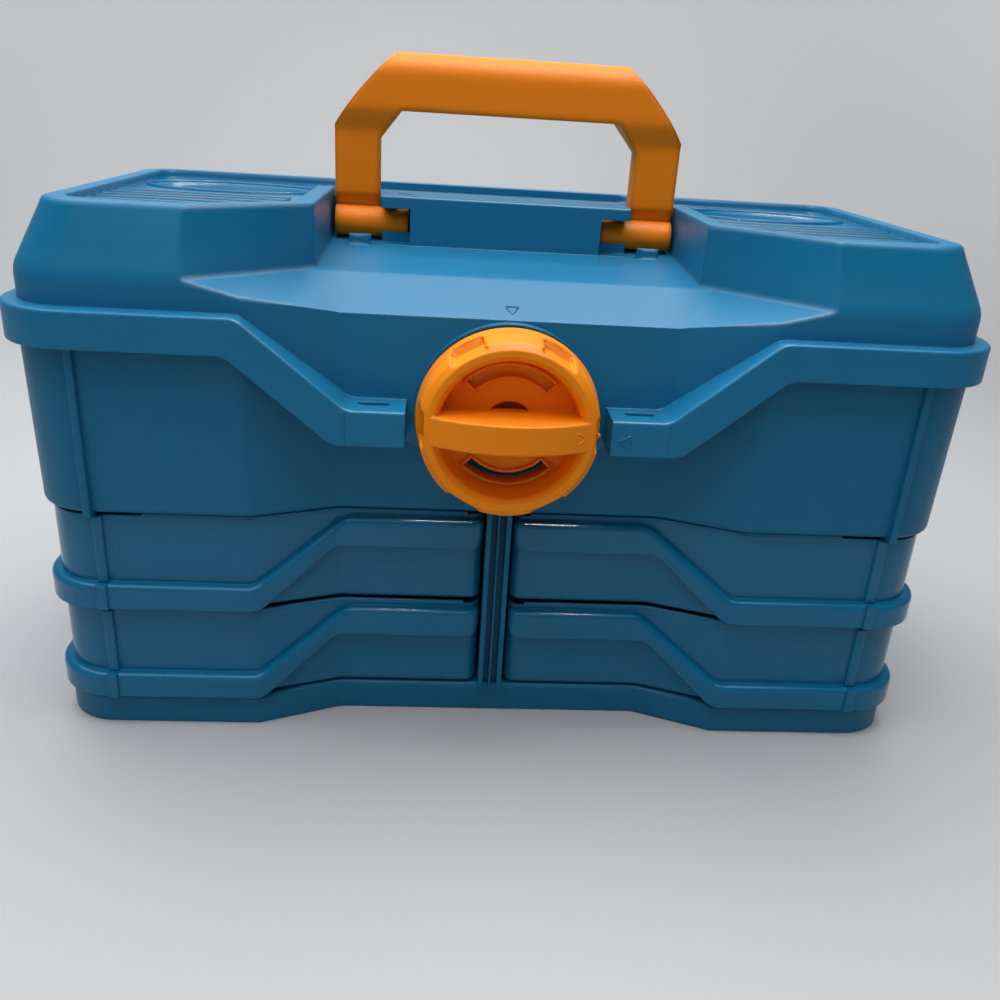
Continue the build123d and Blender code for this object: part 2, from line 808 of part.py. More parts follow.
def flange_solid(inset, top_drop, low_drop, end_in):
    """The flange filled in: sloped stretches at the front, level everywhere else."""
    plan = offset(flange_plan, amount=-inset, mode=Mode.PRIVATE) if inset else flange_plan
    with BuildPart() as front:
        add(raised(plan, 0, far))
        add(flange_band(top_drop, low_drop, end_in), mode=Mode.INTERSECT)
        with Locations((0, flange_front_limit - far / 2, 0)):
            Box(far, far, far, mode=Mode.INTERSECT)
        mirror(about=Plane.YZ)
    with BuildPart() as whole:
        add(raised(plan, flange_top - flange_face - low_drop, flange_top - top_drop))
        with Locations((0, flange_front_limit - far / 2, 0)):
            Box(far, far, far, mode=Mode.SUBTRACT)
        add(front.part)
    return whole.part


with BuildPart() as flange:
    add(flange_solid(0, 0, 0, 0))
    fillet(brow_edges(flange, flange_plan), flange_round)
    add(flange_solid(flange_wall, flange_wall, flange_face, flange_wall), mode=Mode.SUBTRACT)
    add(raised(recess_plan(wall), 0, far), mode=Mode.SUBTRACT)
    # padlock slots through the tabs
    with BuildSketch(Plane.XY.offset(tab_top_z)):
        with Locations((-tab_slot_x, back(tab_slot_in)), (tab_slot_x, back(tab_slot_in))):
            SlotOverall(tab_slot_length, tab_slot_width)
    extrude(amount=-flange_wall, mode=Mode.SUBTRACT)

# Apron: the lid's set-back front wall, which reaches down behind the latch and ends in a keyhole
apron_edge_x = tab_inner_x + flange_wall
with BuildPart() as apron:
    with BuildSketch():
        add(recess_plan(0))
        add(recess_plan(apron_wall), mode=Mode.SUBTRACT)
    extrude(amount=flange_top)
    add(across_depth(
        [(-flange_foot_x, flange_top), (-flange_foot_x, ledge_under_z),
         (-tab_bend_x, tab_top_z - flange_wall), (-apron_edge_x, tab_top_z - flange_wall),
         (-apron_edge_x, apron_low_z), (apron_edge_x, apron_low_z),
         (apron_edge_x, tab_top_z - flange_wall), (tab_bend_x, tab_top_z - flange_wall),
         (flange_foot_x, ledge_under_z), (flange_foot_x, flange_top)],
        [wall, flange_bend_radius, wall, apron_round, apron_round, wall, flange_bend_radius, wall]),
        mode=Mode.INTERSECT)
    with Locations((0, back(apron_in) - far / 2 + lid_recess + apron_wall, 0)):
        Box(2 * flange_foot_x, far, far, mode=Mode.INTERSECT)
    # collar round the top half of the latch
    with BuildSketch(Plane.XZ.offset(-back(apron_in))):
        with Locations((0, knob_axis_z)):
            Circle(arch_radius + arch_wall)
            Circle(arch_radius, mode=Mode.SUBTRACT)
        with Locations((0, knob_axis_z - far / 2)):
            Rectangle(far, far, mode=Mode.SUBTRACT)
    extrude(amount=arch_proud)
    with BuildSketch(Plane.XZ.offset(-back(apron_in + 2 * apron_wall))):
        with Locations((0, knob_axis_z)):
            Circle(hub_radius + keyhole_gap)
        with Locations((0, knob_axis_z - far / 4)):
            Rectangle(hub_flats + 2 * keyhole_gap, far / 2)
    extrude(amount=3 * apron_wall, mode=Mode.SUBTRACT)

# Block between the pads that the handle's barrels snap into
with BuildPart() as block:
    with BuildSketch(Plane.XY.offset(well_floor_z - wall)):
        with Locations((0, back((block_front_in + hollow_back_in) / 2))):
            Rectangle(2 * block_half, hollow_back_in - block_front_in)
    extrude(amount=lid_top_z - well_floor_z + wall)
    fillet(block.edges().filter_by(Axis.X).group_by(Axis.Z)[-1], block_round)
    # windows at the ends, open to the front and to the side
    with BuildSketch(Plane.XZ.offset(-handle_axis_y - barrel_radius - barrel_gap)):
        with Locations((0, (well_floor_z + window_top_z) / 2)):
            with GridLocations(window_x + far / 2, 0, 2, 1):
                Rectangle(far / 2 - window_x, window_top_z - well_floor_z)
    extrude(amount=far / 4, mode=Mode.SUBTRACT)
    # cradles under the barrels
    with BuildSketch(Plane.YZ.offset(window_x)):
        with Locations((handle_axis_y, (well_floor_z + handle_axis_z - barrel_radius / 2) / 2)):
            Rectangle(2 * barrel_radius, handle_axis_z - barrel_radius / 2 - well_floor_z)
        with Locations((handle_axis_y, handle_axis_z)):
            Circle(barrel_radius + barrel_gap, mode=Mode.SUBTRACT)
    extrude(amount=block_half - window_x)
    mirror(block.part, about=Plane.YZ)
    with BuildSketch(Plane.XY.offset(lid_top_z)):
        with Locations(*[(x, handle_axis_y - barrel_radius / 2) for x in (-top_hole_x, top_hole_x)]):
            Rectangle(top_hole_length, top_hole_width)
    extrude(amount=-top_hole_depth, mode=Mode.SUBTRACT)

# Recess in the top of the lid, with a rim round each pad
with BuildSketch() as hollow_rim:
    offset(hollow_top_plan, amount=rim_width, kind=Kind.INTERSECTION)
    with Locations((0, back(hollow_back_in) + far / 2)):
        Rectangle(far, far, mode=Mode.SUBTRACT)
with BuildSketch() as deck_plan:
    add(plain_outline(crown_side - rim_width, back(crown_front_in + rim_width), crown_rear - rim_width,
                      crown_radius - rim_width))
    add(hollow_rim.sketch, mode=Mode.SUBTRACT)
deck_z = lid_top_z - deck_drop

with BuildPart() as lid:
    add(hollowed(0))
    add(raised(deck_plan.sketch, deck_z, lid_top_z), mode=Mode.SUBTRACT)
    add(hollowed(wall), mode=Mode.SUBTRACT)
    add(flange.part)
    add(apron.part)
    add(block.part)
    # oval dishes sunk in the pads
    with BuildSketch(Plane.XY.offset(deck_z - dish_depth - wall)):
        with Locations((-dish_x, back(dish_in)), (dish_x, back(dish_in))):
            Ellipse(dish_half_length + wall, dish_half_width + wall)
    extrude(amount=dish_depth + wall)
    for x in (-dish_x, dish_x):
        with BuildSketch(Plane((x, back(dish_in), deck_z))):
            Ellipse(dish_half_length, dish_half_width)
        with BuildSketch(Plane((x, back(dish_in), deck_z - dish_depth))):
            Ellipse(dish_half_length - dish_slope, dish_half_width - dish_slope)
        loft(ruled=True, mode=Mode.SUBTRACT)
    # low steps across the outer part of each pad
    step_inner = pad_inner_x + 2 * rim_width
    pad_slant = (pad_face_x - pad_inner_x) / (pad_inner_in - crown_front_in)
    with BuildSketch(Plane.XY.offset(deck_z - wall / 2)):
        for i in range(pad_step_count):
            y = back(pad_step_first_in + i * pad_step_pitch)
            near = step_inner + max(0, back(pad_inner_in) - y) * pad_slant
            with Locations(*[(s * (near + crown_side - rim_width) / 2, y) for s in (-1, 1)]):
                Rectangle(crown_side - rim_width - near, pad_step_pitch / 2)
    extrude(amount=pad_step_height + wall / 2)
    # snap tabs in front of the handle's legs
    with BuildSketch(Plane.XY.offset(shelf_back_z - wall)):
        with Locations(*[(x, back(block_front_in) - snap_tab_wall / 2) for x in (-snap_tab_x, snap_tab_x)]):
            Rectangle(snap_tab_width, snap_tab_wall)
    extrude(amount=snap_tab_height + wall)
    # middle knuckles of the hinge, hung from the flange's rear skirt
    with BuildSketch(Plane.YZ) as lid_knuckle:
        with Locations((hinge_y, hinge_z)):
            Circle(knuckle_radius)
        with BuildLine():
            Polyline((half_depth - flange_wall, flange_top - flange_face), (hinge_y, hinge_z),
                     (hinge_y + knuckle_radius, hinge_z), (half_depth + wall, flange_top - flange_face / 2),
                     (half_depth - flange_wall, flange_top - flange_face / 2), close=True)
        make_face()
        with Locations((hinge_y, hinge_z)):
            Circle(hinge_pin_radius + run_fit, mode=Mode.SUBTRACT)
    for x in (-hinge_x, hinge_x):
        extrude(lid_knuckle.sketch.moved(Location((x - knuckle_length / 2, 0, 0))), amount=knuckle_length)
lid.part.label = "lid"

# Handle: front view cut to a side view with a round grip that is deeper than the legs
leg_inner = handle_half - leg_width
grip_low_z = handle_inner_z + (grip_front - leg_front)
with BuildPart() as handle:
    with BuildSketch(Plane.XZ):
        with BuildLine():
            Line((-handle_half, handle_axis_z), (-handle_half, handle_shoulder_z))
            SagittaArc((-handle_half, handle_shoulder_z), (-handle_top_half, handle_top_z), handle_bow)
            Line((-handle_top_half, handle_top_z), (handle_top_half, handle_top_z))
            SagittaArc((handle_top_half, handle_top_z), (handle_half, handle_shoulder_z), handle_bow)
            Polyline((handle_half, handle_shoulder_z), (handle_half, handle_axis_z),
                     (leg_inner, handle_axis_z), (leg_inner, handle_inner_z),
                     (grip_under_half, grip_under_z), (-grip_under_half, grip_under_z),
                     (-leg_inner, handle_inner_z), (-leg_inner, handle_axis_z), (-handle_half, handle_axis_z))
        make_face()
    extrude(amount=far, both=True)
    with BuildSketch(Plane.YZ):
        with BuildLine():
            FilletPolyline(
                (handle_axis_y, handle_axis_z),
                (handle_axis_y, heel_low_z),
                (handle_axis_y - leg_front, heel_z),
                (handle_axis_y - leg_front, grip_low_z),
                (handle_axis_y - grip_front, grip_under_z),
                (handle_axis_y - grip_front, handle_top_z),
                (handle_axis_y + grip_back, handle_top_z),
                (handle_axis_y + grip_back, grip_under_z),
                (handle_axis_y + leg_back, grip_low_z),
                (handle_axis_y + leg_back, handle_axis_z),
                radius=[handle_edge, handle_edge, handle_edge, grip_lower_round, grip_round, grip_round,
                        grip_lower_round, handle_edge, handle_edge, handle_edge],
                close=True,
            )
        make_face()
    extrude(amount=far, both=True, mode=Mode.INTERSECT)
    with BuildSketch(Plane.YZ.offset(barrel_inner_x)):
        with Locations((handle_axis_y, handle_axis_z)):
            Circle(barrel_radius)
    extrude(amount=handle_half - barrel_inner_x)
    mirror(handle.part, about=Plane.YZ)
handle.part.label = "handle"

# Knob: a turned cup with a grip bar, on a hub that passes the lid's keyhole
hub_back_in = bin_centre_in - seat_gap
spindle_end_in = bin_centre_in + wall + seat_gap
knob_floor_back_in = knob_floor_in + knob_wall
with BuildPart() as knob:
    with BuildSketch(Plane((0, 0, knob_axis_z), x_dir=(0, 1, 0), z_dir=(1, 0, 0))):
        with BuildLine():
            FilletPolyline(
                (back(knob_floor_in), 0),
                (back(knob_floor_in), knob_floor_radius),
                (back(knob_front_in + knob_chamfer), knob_lip_radius),
                (back(knob_front_in), knob_face_inner),
                (back(knob_front_in), knob_front_radius - knob_chamfer),
                (back(knob_front_in + knob_chamfer), knob_front_radius),
                (back(knob_back_in), knob_back_radius),
                (back(knob_back_in), knob_back_radius - knob_wall),
                (back(knob_floor_back_in), knob_back_radius - 2 * knob_wall),
                (back(knob_floor_back_in), hub_base_radius),
                (back(knob_back_in), hub_base_radius),
                (back(knob_back_in), hub_radius),
                (back(hub_back_in), hub_radius),
                (back(hub_back_in), spindle_radius),
                (back(spindle_end_in), spindle_radius),
                (back(spindle_end_in), 0),
                radius=[knob_round, knob_round, knob_round, knob_round, knob_round, knob_round, knob_edge,
                        knob_edge, knob_round, knob_round, knob_edge, knob_edge, knob_edge, knob_edge],
            )
            Line((back(spindle_end_in), 0), (back(knob_floor_in), 0))
        make_face()
    revolve(axis=Axis((0, 0, knob_axis_z), (0, 1, 0)))
    # flats on the hub
    with BuildSketch(Plane.XZ.offset(-back(knob_back_in + knob_edge))):
        with Locations((0, knob_axis_z)):
            Circle(hub_base_radius + run_fit)
            Rectangle(hub_flats, 2 * far, mode=Mode.SUBTRACT)
    extrude(amount=-(hub_back_in - knob_back_in), mode=Mode.SUBTRACT)
    # notches round the rim
    with BuildSketch(Plane.XZ.offset(-back(knob_notch_back_in))):
        with Locations((0, knob_axis_z)):
            with PolarLocations(knob_front_radius - knob_notch_depth + knob_back_radius / 2, knob_notch_count):
                RectangleRounded(knob_back_radius, knob_notch_width, knob_round)
    extrude(amount=far, mode=Mode.SUBTRACT)
    # raised borders, then the sunk arc above the bar, the open arc below it and the well
    for grow, sink, z_side in ((knob_border, -knob_border, 1), (knob_border, -knob_border, -1),
                               (0, knob_slot_sink, 1), (0, knob_wall, -1)):
        with BuildSketch(Plane.XZ.offset(-back(knob_floor_in))):
            with BuildLine():
                outer = CenterArc((0, knob_axis_z), knob_slot_outer, z_side * 90 - knob_slot_half_angle,
                                  2 * knob_slot_half_angle)
                inner = CenterArc((0, knob_axis_z), knob_slot_inner, z_side * 90 - knob_slot_half_angle,
                                  2 * knob_slot_half_angle)
                Line(outer @ 0, inner @ 0)
                Line(outer @ 1, inner @ 1)
            make_face()
            if grow:
                offset(amount=grow)
        extrude(amount=-sink, mode=Mode.ADD if sink < 0 else Mode.SUBTRACT)
    with BuildSketch(Plane.XZ.offset(-back(knob_floor_in))):
        with Locations((0, knob_axis_z)):
            Circle(knob_well_radius + knob_border)
    extrude(amount=knob_border / 2)
    with BuildSketch(Plane.XZ.offset(-back(knob_floor_in - knob_border))):
        with Locations((0, knob_axis_z)):
            Circle(knob_well_radius)
    extrude(amount=-knob_well_depth - knob_border, mode=Mode.SUBTRACT)
    # crowned grip bar
    with BuildPart(mode=Mode.PRIVATE) as bar:
        with BuildSketch(Plane.XY.offset(knob_axis_z - knob_bar_half)):
            with BuildLine():
                ThreePointArc((-knob_bar_reach, back(knob_front_in)), (0, back(knob_front_in - knob_bar_crown)),
                              (knob_bar_reach, back(knob_front_in)))
                Polyline((knob_bar_reach, back(knob_front_in)),
                         (knob_floor_radius - knob_round, back(knob_floor_back_in)),
                         (knob_round - knob_floor_radius, back(knob_floor_back_in)),
                         (-knob_bar_reach, back(knob_front_in)))
            make_face()
        extrude(amount=2 * knob_bar_half)
        fillet(bar.edges().group_by(Axis.Y)[0], knob_round)
    add(bar.part)
    with BuildSketch(Plane.XZ.offset(-back(spindle_end_in))):
        with Locations((0, knob_axis_z)):
            Circle(latch_screw_radius + run_fit)
    extrude(amount=latch_screw_length + wall, mode=Mode.SUBTRACT)
knob.part.label = "latch_knob"

# Washer and screw that hold the knob from inside the bin
washer_back_in = spindle_end_in + washer_wall
with BuildPart() as washer:
    with BuildSketch(Plane.XZ.offset(-back(spindle_end_in))):
        with Locations((0, knob_axis_z)):
            Circle(washer_radius)
            Circle(latch_screw_radius + run_fit, mode=Mode.SUBTRACT)
    extrude(amount=-washer_wall)
washer.part.label = "latch_washer"

with BuildPart() as latch_screw:
    with BuildSketch(Plane.XZ.offset(-back(washer_back_in))):
        with Locations((0, knob_axis_z)):
            Circle(latch_head_radius)
    extrude(amount=-latch_head_height)
    fillet(latch_screw.edges().group_by(Axis.Y)[-1], latch_head_height / 3)
    with BuildSketch(Plane.XZ.offset(-back(washer_back_in))):
        with Locations((0, knob_axis_z)):
            Circle(latch_screw_radius)
    extrude(amount=latch_screw_length)
    # cross recess
    with BuildSketch(Plane.XZ.offset(-back(washer_back_in + latch_head_height))):
        with Locations((0, knob_axis_z)):
            Rectangle(latch_head_radius, latch_head_radius / 5)
            Rectangle(latch_head_radius / 5, latch_head_radius)
    extrude(amount=latch_head_height / 2, mode=Mode.SUBTRACT)
latch_screw.part.label = "latch_screw"

# Hinge pins and pivot rods
pins = []
for x, side in ((-hinge_x, "left"), (hinge_x, "right")):
    with BuildPart() as hinge_pin:
        with BuildSketch(Plane.YZ.offset(x - pin_length / 2)):
            with Locations((hinge_y, hinge_z)):
                Circle(hinge_pin_radius)
        extrude(amount=pin_length)
        chamfer(hinge_pin.edges(), hinge_pin_radius / 5)
    hinge_pin.part.label = f"hinge_pin_{side}"
    pins.append(hinge_pin.part)
rod_top = bin_bottom + bin_floor + socket_height - wall - seat_gap
for x, side in ((-axis_x, "left"), (axis_x, "right")):
    with BuildPart() as rod:
        with BuildSketch(Plane.XY.offset(wall)):
            with Locations((x, axis_y)):
                Circle(pivot_rod_radius)
        extrude(amount=rod_top - wall)
        chamfer(rod.edges(), pivot_rod_radius / 5)
    rod.part.label = f"pivot_rod_{side}"
    pins.append(rod.part)

# Screws that hold the bin on the housing and the shelf
with BuildPart() as bin_screws:
    for x, y in screw_spots + rear_screws:
        with BuildSketch(Plane.XY.offset(bin_bottom + bin_floor)):
            with Locations((x, y)):
                Circle(screw_head_radius)
        extrude(amount=screw_head_height)
        with BuildSketch(Plane.XY.offset(bin_bottom + bin_floor)):
            with Locations((x, y)):
                Circle(screw_radius)
        extrude(amount=-screw_length)
        with BuildSketch(Plane.XY.offset(bin_bottom + bin_floor + screw_head_height)):
            with Locations((x, y)):
                Rectangle(screw_head_radius, screw_head_radius / 5)
                Rectangle(screw_head_radius / 5, screw_head_radius)
        extrude(amount=-screw_head_height / 2, mode=Mode.SUBTRACT)
bin_screws.part.label = "bin_screws"

os.makedirs("parts", exist_ok=True)
pieces = [housing.part, shelf.part, post.part, upper_bin.part, lid.part, handle.part, knob.part,
          washer.part, latch_screw.part, bin_screws.part] + trays + pins
for piece in pieces:
    export_step(piece, f"parts/{piece.label}.step")
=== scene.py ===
import json
import math

import bmesh
import bpy
import numpy as np
from mathutils import Matrix


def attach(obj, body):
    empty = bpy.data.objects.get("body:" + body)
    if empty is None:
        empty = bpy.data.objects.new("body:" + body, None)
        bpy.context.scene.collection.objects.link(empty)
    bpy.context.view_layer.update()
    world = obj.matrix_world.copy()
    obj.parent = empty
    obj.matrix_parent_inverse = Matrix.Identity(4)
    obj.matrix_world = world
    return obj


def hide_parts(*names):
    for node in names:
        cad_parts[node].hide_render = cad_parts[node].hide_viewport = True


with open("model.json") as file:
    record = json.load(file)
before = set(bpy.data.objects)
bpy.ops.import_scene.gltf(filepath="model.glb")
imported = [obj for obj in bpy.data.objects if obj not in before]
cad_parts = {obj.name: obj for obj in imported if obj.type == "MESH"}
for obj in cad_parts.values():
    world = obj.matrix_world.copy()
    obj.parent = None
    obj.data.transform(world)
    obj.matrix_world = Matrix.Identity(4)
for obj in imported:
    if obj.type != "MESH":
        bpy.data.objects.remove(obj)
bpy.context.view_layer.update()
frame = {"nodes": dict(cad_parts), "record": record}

mm = 0.001


# sRGB hex to the linear colour that a shader takes
def linear(hexColour):
    parts = [int(hexColour[i:i + 2], 16) / 255 for i in (1, 3, 5)]
    return tuple(c / 12.92 if c <= 0.04045 else ((c + 0.055) / 1.055) ** 2.4 for c in parts) + (1.0,)


# One node with its settings (attributes or socket values) and what feeds its sockets
def addNode(tree, kind, settings=None, links=None):
    node = tree.nodes.new(kind)
    for key, value in (settings or {}).items():
        if isinstance(key, str) and hasattr(node, key) and key not in node.inputs:
            setattr(node, key, value)
        else:
            node.inputs[key].default_value = value
    for key, source in (links or {}).items():
        tree.links.new(source, node.inputs[key])
    return node


# Camera: the photo's place and tilt, worked out from the box's corners in a 1000 x 1000 picture
camera = {
    "place": (-32.1 * mm, -509.9 * mm, 309.7 * mm),
    "lens": 33.81,  # mm on a 36 mm sensor
    "yaw": 4.23,  # degrees, to the right
    "pitch": 23.05,  # degrees, down
    "roll": -3.63,
    "sensor": 36,  # mm
    "near": 0.01,  # m
    "far": 20,
}


# The view's three axes: ahead from yaw and pitch, then right and up turned about it by the roll
def makeCamera(spec):
    yaw, pitch, roll = (math.radians(spec[k]) for k in ("yaw", "pitch", "roll"))
    ahead = np.array([math.sin(yaw) * math.cos(pitch), math.cos(yaw) * math.cos(pitch), -math.sin(pitch)])
    level = np.array([math.cos(yaw), -math.sin(yaw), 0.0])
    down = np.cross(ahead, level)
    right = math.cos(roll) * level + math.sin(roll) * down
    up = math.sin(roll) * level - math.cos(roll) * down
    data = bpy.data.cameras.new("camera")
    data.lens, data.sensor_width = spec["lens"], spec["sensor"]
    data.clip_start, data.clip_end = spec["near"], spec["far"]
    seen = bpy.data.objects.new("camera", data)
    turned = Matrix(np.column_stack([right, up, -ahead]).tolist()).to_4x4()
    turned.translation = spec["place"]
    seen.matrix_world = turned
    bpy.context.scene.collection.objects.link(seen)
    bpy.context.scene.camera = seen


makeCamera(camera)
print("camera made")

# Light: a wide soft panel overhead, a weak one in front and a thin strip for highlights, in a pale room
studio = {
    "room": "#DADCDE",
    "roomStrength": 0.16,
    "seen": "#C6C8CA",
    "floor": "#B0B2B4",
    "near": 0.75,  # m from the box within which the floor shows its own light and shade
    "away": 1.9,  # m from the box beyond which it is as pale as the room
    "overhead": {"place": (-0.12, 0.15, 1.25), "aim": (0.0, 0.0, 0.15), "size": 1.7, "power": 34},
    "strip": {"place": (0.1, -0.15, 0.95), "aim": (0.0, -0.05, 0.15), "size": 0.5, "height": 0.02,
              "power": 15},
    "front": {"place": (-0.25, -1.0, 1.25), "aim": (0.0, -0.05, 0.12), "size": 1.0, "power": 3.4},
}


# An area lamp at its place, whose back points away from its aim
def softPanel(name, spec, diffuse=True):
    data = bpy.data.lights.new(name, "AREA")
    data.shape, data.size, data.size_y = "RECTANGLE", spec["size"], spec.get("height", spec["size"])
    data.energy = spec["power"]
    lamp = bpy.data.objects.new(name, data)
    lamp.visible_diffuse = diffuse
    away = np.array(spec["place"]) - np.array(spec["aim"])
    away = away / np.linalg.norm(away)
    side = np.cross((0.0, 1.0, 0.0), away)
    side = side / np.linalg.norm(side)
    turned = Matrix(np.column_stack([side, np.cross(away, side), away]).tolist()).to_4x4()
    turned.translation = spec["place"]
    lamp.matrix_world = turned
    bpy.context.scene.collection.objects.link(lamp)


# The lamps, and a world that lights the box weakly and shows the camera its pale colour
def makeStudio(spec):
    softPanel("overheadPanel", spec["overhead"])
    softPanel("frontPanel", spec["front"])
    softPanel("highlightStrip", spec["strip"], diffuse=False)  # seen only in the plastic's gloss
    world = bpy.data.worlds.new("paleRoom")
    world.use_nodes = True
    tree = world.node_tree
    tree.nodes.clear()
    rays = addNode(tree, "ShaderNodeLightPath")
    room = addNode(tree, "ShaderNodeBackground", {"Color": linear(spec["room"]),
                                                  "Strength": spec["roomStrength"]})
    seen = addNode(tree, "ShaderNodeBackground", {"Color": linear(spec["seen"]), "Strength": 1.0})
    mixed = addNode(tree, "ShaderNodeMixShader", {},
                    {0: rays.outputs["Is Camera Ray"], 1: room.outputs[0], 2: seen.outputs[0]})
    addNode(tree, "ShaderNodeOutputWorld", {}, {"Surface": mixed.outputs[0]})
    bpy.context.scene.world = world
    bpy.context.scene.view_settings.view_transform = "Standard"


makeStudio(studio)


# Sweep: a pale sheet on the table that curves up behind the box, in metres
sweep = {"half": 3.0, "front": -2.5, "bend": 0.7, "radius": 0.6, "top": 2.2, "steps": 25, "roughness": 0.6}


# Flat from front to bend, then a quarter circle of the radius, then straight up to the top
def makeSweep(spec):
    turn = np.linspace(0, math.pi / 2, spec["steps"])
    y = np.concatenate([[spec["front"]], spec["bend"] + spec["radius"] * np.sin(turn),
                        [spec["bend"] + spec["radius"]]])
    z = np.concatenate([[0.0], spec["radius"] * (1 - np.cos(turn)), [spec["top"]]])
    x = np.array([-spec["half"], spec["half"]])
    points = np.stack([np.tile(x, len(y)), np.repeat(y, 2), np.repeat(z, 2)], axis=1)
    steps = np.arange(len(y) - 1) * 2
    faces = np.stack([steps, steps + 1, steps + 3, steps + 2], axis=1)
    mesh = bpy.data.meshes.new("sweep")
    mesh.from_pydata(points.tolist(), [], faces.tolist())
    mesh.polygons.foreach_set("use_smooth", [True] * len(mesh.polygons))
    sheet = bpy.data.objects.new("sweep", mesh)
    bpy.context.scene.collection.objects.link(sheet)
    # matt paper near the box; away from it the camera sees the room's own pale colour
    material = bpy.data.materials.new("mattPaper")
    material.use_nodes = True
    tree = material.node_tree
    tree.nodes.clear()
    place = addNode(tree, "ShaderNodeTexCoord").outputs["Object"]
    distance = addNode(tree, "ShaderNodeVectorMath", {"operation": "LENGTH"}, {0: place}).outputs["Value"]
    away = addNode(tree, "ShaderNodeMapRange",
                   {"interpolation_type": "SMOOTHSTEP", "From Min": studio["near"], "From Max": studio["away"]},
                   {"Value": distance})
    rays = addNode(tree, "ShaderNodeLightPath")
    share = addNode(tree, "ShaderNodeMath", {"operation": "MULTIPLY"},
                    {0: away.outputs["Result"], 1: rays.outputs["Is Camera Ray"]})
    paper = addNode(tree, "ShaderNodeBsdfPrincipled", {"Base Color": linear(studio["floor"]),
                                                       "Roughness": spec["roughness"]})
    pale = addNode(tree, "ShaderNodeEmission", {"Color": linear(studio["seen"]), "Strength": 1.0})
    mixed = addNode(tree, "ShaderNodeMixShader", {},
                    {0: share.outputs[0], 1: paper.outputs[0], 2: pale.outputs[0]})
    addNode(tree, "ShaderNodeOutputMaterial", {}, {"Surface": mixed.outputs[0]})
    mesh.materials.append(material)


makeSweep(sweep)
print("studio made")

# Finishes. Moulded polypropylene: the tool's spark-eroded grain gives the eye a fine satin, the polished
# parts of the tool a soft gloss. "grain" is the grain's size and "depth" its depth, in mm. "edge" is the
# rounding that the tool leaves on an edge, in mm. "gloss" is the specular level. Grain of half a millimetre
# is coarser than the real one, so that it shows.
polypropylene = {"ior": 1.49, "flow": 60, "duller": 0.06, "shinier": 0.05, "bump": 0.6, "bevelRays": 6}
# On the lid, "domeEdge" is the larger rounding on the dome, in mm, and "padShine" the share of the roughness
# that the polished pads keep. Each ramp goes from 0 to 1 between two places on an axis, in mm. The dome lies
# above the flange, and beside or before the handle's block, whose edges stay crisp. The sunk pads with their
# dishes lie outside the hollow in the lid's middle and below their own rims. The shine fades out downwards, so
# it leaves no line on the lid's walls.
dome = {
    "domeEdge": 3.6,
    "padShine": 0.42,
    "ramps": {"beside": ("aside", 72, 76), "before": ("Y", 1, -3), "above": ("Z", 220, 222),
              "within": ("aside", 94, 116), "below": ("Z", 258.5, 257.5), "high": ("Z", 238.5, 252.5)},
    "joins": {"clear": ("MAXIMUM", "beside", "before"), "onDome": ("MULTIPLY", "clear", "above"),
              "inPad": ("MULTIPLY", "within", "below"), "onPad": ("MULTIPLY", "inPad", "high")},
}
plastics = {
    "body_plastic": {"name": "mouldedPolypropyleneTeal", "colour": "#0F688F", "deep": "#0D6389",
                     "roughness": 0.38, "grain": 0.5, "depth": 0.05, "edge": 0.7,
                     "gloss": 0.22},
    "lid_plastic": {"name": "mouldedPolypropyleneTealLid", "colour": "#16739E", "deep": "#136D97",
                    "roughness": 0.38, "grain": 0.5, "depth": 0.06, "edge": 0.8,
                    "gloss": 0.22, "dome": dome},
    "tray_plastic": {"name": "mouldedPolypropyleneTealTray", "colour": "#0F6A93", "deep": "#0D658D",
                     "roughness": 0.16, "grain": 0.5, "depth": 0.012, "edge": 0.9,
                     "gloss": 0.28},
    "orange_plastic": {"name": "mouldedPolypropyleneOrange", "colour": "#FB9014", "deep": "#F5880D",
                       "roughness": 0.44, "grain": 0.7, "depth": 0.10, "edge": 0.5,
                       "gloss": 0.14},
    "handle": {"name": "mouldedPolypropyleneOrangeGrip", "colour": "#FA8A12", "deep": "#F4820B",
               "roughness": 0.50, "grain": 0.9, "depth": 0.14, "edge": 4.5,
               "gloss": 0.12},
    "divider_plastic": {"name": "mouldedPolypropyleneNatural", "colour": "#C9D3D6", "deep": "#BFCBD0",
                        "roughness": 0.35, "grain": 0.8, "depth": 0.02, "edge": 0.4,
                        "gloss": 0.5},
}


